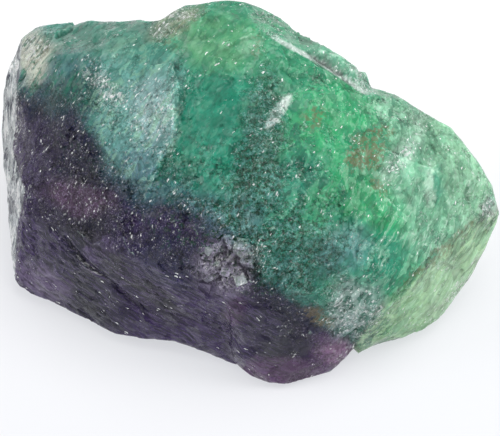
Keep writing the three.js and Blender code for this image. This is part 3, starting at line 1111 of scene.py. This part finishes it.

# %% [markdown]
# ## Thin lines
# Where two flakes meet there is a thin line: dark where the crack is clear, bright where it is
# open and full of air. The wall has the same lines along its splinters, and the sliver down the
# left side is so glassy that long lines are all that shows in it; its brightest lines are painted
# highlights. Raised ridges get a painted highlight as well.

# %% Edges of flakes and splinters
border_settings = {"feature": "DISTANCE_TO_EDGE"}
border = desk.node("ShaderNodeTexVoronoi", border_settings, {"Vector": flake, "Scale": 1.0})
thin = desk.rise(border, 0.06, 0.03) * other * busy
open_crack = desk.rise(veil, 0.46, 0.54)
edge = (
    thin * (1 - open_crack) * 0.5
    + line_at(desk, line, 0.43, 0.02) * wall
    + line_at(desk, band, 0.44, 0.012) * pale * busy
)
colour = desk.vector("SCALE", colour, scale=1 - edge * 0.4)
# raised ridges get a painted highlight: glass on the green, pale lilac on the wall
raised = desk.rise(ridge, 0.05, 0.12)
bright = (
    thin * open_crack * desk.rise(slow, 0.46, 0.56) * (0.1 + pale * 0.3) * green
    + desk.rise(streak + (slow - 0.5) * 0.3, 0.62, 0.68) * pale * 0.4
    + raised * other * 0.45
)
colour = toned(desk, colour, bright, "glass")
wall_lines = line_at(desk, line, 0.57, 0.014) * 0.25 + raised * 0.2
colour = toned(desk, colour, wall_lines * wall, "pale lilac")
tell("the edges of flakes")

# %% The glassy sliver down the left side
sliver_mask = kept("sliver")
across, up = plane(desk, bent)
strand_place = desk.node("ShaderNodeCombineXYZ", {}, {"X": across * 1.8, "Y": up * 0.22})
strand = desk.noise(strand_place, 1.0, 3, 0.6)
colour = toned(desk, colour, sliver_mask * 0.85, "frost")
colour = toned(desk, colour, desk.rise(strand, 0.48, 0.43) * sliver_mask * 0.85, "slate")
# painted highlights: bright glint white strands along the frosted sliver
colour = toned(desk, colour, desk.rise(strand, 0.54, 0.58) * sliver_mask * 0.95, "glint")
tell("the sliver")

# %% [markdown]
# ## Stain, bruises and glints
# The last marks are the smallest: brown specks where iron has crept in, white ones where the stone
# is bruised, which are partly painted glints too, and painted glints: white specks standing in for
# single tiny facets that face the light. A facet's chance number picks them, so they stay where
# they are from every side.

# %% Stain, bruises and glints
colour = toned(desk, colour, desk.rise(speck + stain * 0.2, 0.6, 0.68) * stain * 0.75, "stain")
cluster = (slow - 0.5) * 0.3 + (mottle - 0.5) * 0.3 + bruise * 0.1 + dark * 0.03
# white flecks: bruises, partly painted glints in glint white
white = desk.rise(desk.noise(fleck, 1.0, 3, 0.6) + cluster, 0.68, 0.74) * other
white_facet = desk.rise(middle_tone, 0.72, 0.76) * desk.rise(bruise, 0.6, 1)
colour = toned(desk, colour, white * (0.4 + bruise * 0.35) + white_facet * 0.15, "glint")
luck = cluster * 0.15
# painted glints: white specks in the colour
glint = (
    desk.rise(desk.facets(spark, 1, 0)[1] + luck, 0.99, 1.0) * other
    + desk.rise(desk.facets(sliver, 1, 0)[1] + luck, 0.992, 1.0) * wall
)
colour = toned(desk, colour, glint * 0.85, "glint")
tell("stain, bruises and glints")

# %% [markdown]
# ## Bump and shader
# The same facets that have a tone also have a height in millimetres, so a bump turns each of them
# into a small mirror with a tilt of its own. Then everything goes into one shader.

# %% The bump
heights = (
    broad
    + middle * (0.35 + sugary * 0.65) * (1 - wall * 0.7)
    + small * sugary * (1 - wall * 0.5)
    + long * other * busy
    + split * wall
    + blot * loose * 0.6
    + veil * 0.6 * other * busy
    + grit * sugary * other * 0.12
)
bump = desk.node("ShaderNodeBump", {}, {"Strength": 1.0, "Distance": MM, "Height": heights})
tell("the bump")

# %% The shader
GLASSY = 0.16  # roughness of the clean breaks
SUGARY = 0.16  # what the sugary ones have on top
INSIDE = {
    "IOR": 1.434,
    "Subsurface Weight": 0.25,
    "Subsurface Radius": (0.9, 1.0, 0.9),
    "Subsurface Scale": 0.8 * MM,
    "Transmission Weight": 0.3,
    "Coat Weight": 0.1,
    "Coat Roughness": 0.08,
}
surface = {"Base Color": colour, "Roughness": GLASSY + sugary * SUGARY, "Normal": bump}
scatter = {"subsurface_method": "RANDOM_WALK"}
shade = desk.node("ShaderNodeBsdfPrincipled", scatter, surface | INSIDE)
desk.node("ShaderNodeOutputMaterial", {}, {"Surface": shade})
tell("the shader")

# %% [markdown]
# ## Small cube crystals
# In the pocket, and thinly over the grainy belt beside it, stand little crystals, and fluorite
# crystals are cubes. Placing them by hand would be endless, so a tree scatters points over the skin
# where a mask is high and sets a small turned cube on each, half sunk. They end as real faces, so
# they catch the light as the real ones do.

# %% Cubes on a skin


def scattered(desk, skin, density, size_range, seed):
    """Small cubes on the skin: density per square metre, sizes in mm."""
    values = {"Mesh": skin, "Density": density, "Seed": seed}
    points = desk.node("GeometryNodeDistributePointsOnFaces", {}, values, "Points")
    turns = desk.node(
        "FunctionNodeRandomValue",
        {"data_type": "FLOAT_VECTOR"},
        {"Min": (0, 0, 0), "Max": (2 * math.pi,) * 3, "Seed": seed + 1},
    )
    sizes = desk.node(
        "FunctionNodeRandomValue",
        {"data_type": "FLOAT"},
        {"Min": size_range[0] * MM, "Max": size_range[1] * MM, "Seed": seed + 2},
    )
    cube = desk.node("GeometryNodeMeshCube", {}, {"Size": (1, 1, 1)})
    values = {"Points": points, "Instance": cube, "Rotation": turns, "Scale": sizes}
    return desk.node("GeometryNodeInstanceOnPoints", {}, values)


# smallest and largest, in mm
POCKET_CUBES = (0.7, 2.1)
BELT_CUBES = (0.25, 0.6)
print("largest cube:", POCKET_CUBES[1], "mm")

# %% Scatter the crystals
DENSITIES = {"Pocket Density": 1.1, "Belt Density": 1.0}  # cubes on each square millimetre
PER_SQUARE_METRE = 1 / (MM * MM)
CUBE_FACES = 6


def crystal_tree():
    """Cubes in the pocket, and in clumps on the grainy belt of the show side."""
    desk, size = started(new_tree("small cubes", DENSITIES))
    here = desk.node("GeometryNodeInputPosition")
    place = desk.vector("SCALE", here, scale=1 / MM)
    zone = regions(desk, place)
    front = desk.rise(desk.dot(place, FACING), 18, 24)
    clumps = desk.rise(desk.noise(place, 3.5, 2), 0.5, 0.62)
    in_pocket = zone["pocket"] * front * size["Pocket Density"] * PER_SQUARE_METRE
    on_belt = zone["grainy"] * front * clumps * size["Belt Density"] * PER_SQUARE_METRE
    pocket = scattered(desk, size["Geometry"], in_pocket, POCKET_CUBES, 11)
    belt = scattered(desk, size["Geometry"], on_belt, BELT_CUBES, 23)
    joined = desk.node("GeometryNodeJoinGeometry", {}, {"Geometry": [belt, pocket]})
    # made real before the marks are kept, so that each cube has its own
    cubes = desk.node("GeometryNodeRealizeInstances", {}, {"Geometry": joined})
    for name in KINDS:
        cubes = stored(desk, cubes, name, zone[name])
    return sent_out(desk, coloured(desk, cubes, place, zone["pocket"] * 0.25))


crystals = bpy.data.objects.new("pocket_crystals", stone.data.copy())
bpy.context.scene.collection.objects.link(crystals)
crystals = shaped(crystals, crystal_tree(), DENSITIES)
print("cubes:", len(crystals.data.polygons) // CUBE_FACES)

# %% [markdown]
# ## Smooth where it is flat, sharp where it breaks
# Both pieces get the one material in one slot. The stone's faces are so small that they are shaded
# smoothly, with a sharp edge wherever two of them meet at a clear angle. Cubes are flat all over.

# %% Dress the stone
SHARP = math.radians(40)
for piece in (stone, crystals):
    piece.data.materials.clear()
    piece.data.materials.append(mineral)
stone.data.shade_smooth()
stone.data.set_sharp_from_angle(angle=SHARP)
crystals.data.shade_flat()
print("slots:", [[slot.name for slot in piece.data.materials] for piece in (stone, crystals)])

# %% [markdown]
# ## Into the frame
# The stone takes the place of the solid in the finished scene, and the little crystals go with it.
# Nothing on a stone moves by itself, so both ride on the root body.

# %% Hand the stone to the frame
for piece in (stone, crystals):
    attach(piece, "root")
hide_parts(LUMP)
print("pieces in the frame:", stone.name, "and", crystals.name)

# %% [markdown]
# ## The floor
# Such stones are often shown on a light table: a sheet that glows by itself, so that the shadow
# under the stone stays soft and pale. Here it is one plain square. Its own colour is a mid grey, so
# it throws little light back, and it glows a little less on the near side than on the far side.

# %% Floor
NEAR_EDGE = -20 * MM
FAR_EDGE = 70 * MM
NEAR_GLOW = (0.57, 0.58, 0.605, 1)
FAR_GLOW = (0.76, 0.76, 0.76, 1)
SHEET = (0.25, 0.25, 0.255, 1)
FLOOR_REACH = 3.0  # metres each way


def sheet_material():
    """White paper that glows from NEAR_GLOW at the near edge to FAR_GLOW at the far edge."""
    paper = bpy.data.materials.new("white paper")
    paper.use_nodes = True
    paper.node_tree.nodes.clear()
    desk = Desk(paper.node_tree)
    place = desk.node("ShaderNodeTexCoord", {}, {}, "Object")
    back = desk.rise(desk.dot(place, (0, 1, 0)), NEAR_EDGE, FAR_EDGE)
    values = {
        "Base Color": SHEET,
        "Roughness": 0.9,
        "Emission Color": mixed(desk, back, NEAR_GLOW, FAR_GLOW),
        "Emission Strength": 1.0,
    }
    shade = desk.node("ShaderNodeBsdfPrincipled", {}, values)
    desk.node("ShaderNodeOutputMaterial", {}, {"Surface": shade})
    return paper


def floor():
    """A square sheet under the stone."""
    mesh = bpy.data.meshes.new("floor")
    reach = FLOOR_REACH
    corners = [(-reach, -reach, 0), (reach, -reach, 0), (reach, reach, 0), (-reach, reach, 0)]
    mesh.from_pydata(corners, [], [(0, 1, 2, 3)])
    mesh.materials.append(sheet_material())
    piece = bpy.data.objects.new("floor", mesh)
    bpy.context.scene.collection.objects.link(piece)
    return piece


floor()
print("floor:", 2 * FLOOR_REACH, "m wide")

# %% [markdown]
# ## Light
# A bright even room alone would leave the facets dull, so three softboxes and three small lamps
# stand round the stone. The small ones add little light, but they are bright to look at, so
# wherever a facet mirrors one there is a glint.

# %% Light
ROOM = 0.5
LAMPS = [
    # name, place in metres, width in metres, power in watts
    ("top softbox", (0.3, 0.1, 1.05), 1.0, 9.5),
    ("left softbox", (-0.9, -0.1, 0.7), 0.5, 3.0),
    ("right softbox", (0.9, -0.1, 0.7), 0.5, 4.0),
    ("left spark", (-0.4, -0.7, 0.6), 0.08, 0.5),
    ("right spark", (0.5, -0.6, 0.7), 0.08, 0.5),
    ("low spark", (0.1, -0.9, 0.25), 0.08, 0.3),
]


def room(strength):
    """Plain white light from all sides."""
    world = bpy.data.worlds.new("room")
    world.use_nodes = True
    world.node_tree.nodes.clear()
    desk = Desk(world.node_tree)
    values = {"Color": (1, 1, 1, 1), "Strength": strength}
    walls = desk.node("ShaderNodeBackground", {}, values)
    desk.node("ShaderNodeOutputWorld", {}, {"Surface": walls})
    bpy.context.scene.world = world


def lamp(name, place, size, power):
    """A round lamp that faces the stone."""
    light = bpy.data.lights.new(name, "AREA")
    light.shape = "DISK"
    light.size = size
    light.energy = power
    piece = bpy.data.objects.new(name, light)
    piece.location = place
    piece.rotation_euler = (-Vector(place)).to_track_quat("-Z", "Y").to_euler()
    bpy.context.scene.collection.objects.link(piece)


room(ROOM)
for values in LAMPS:
    lamp(*values)
bpy.context.scene.view_settings.view_transform = "Standard"
print("lamps:", len(LAMPS))

# %% [markdown]
# ## Camera
# The camera looks straight at the show side, from well above. A long lens from far off leaves
# hardly any perspective, so the stone keeps the outline that it has on the leaning plane.

# %% Camera
LOOK_AT = Vector((0.452, -6.001, 14.964)) * MM
DISTANCE = 463 * MM
LENS = 200
SENSOR = 36
NEAREST = 0.01  # metres, nearer than this nothing is drawn
eye = bpy.data.cameras.new("camera")
eye.lens = LENS
eye.sensor_width = SENSOR
eye.clip_start = NEAREST
camera = bpy.data.objects.new("camera", eye)
way_back = Vector(FACING)
camera.location = LOOK_AT + way_back * DISTANCE
camera.rotation_euler = way_back.to_track_quat("Z", "Y").to_euler()
bpy.context.scene.collection.objects.link(camera)
bpy.context.scene.camera = camera
print("camera at", [round(part / MM) for part in camera.location], "mm")

# %% [markdown]
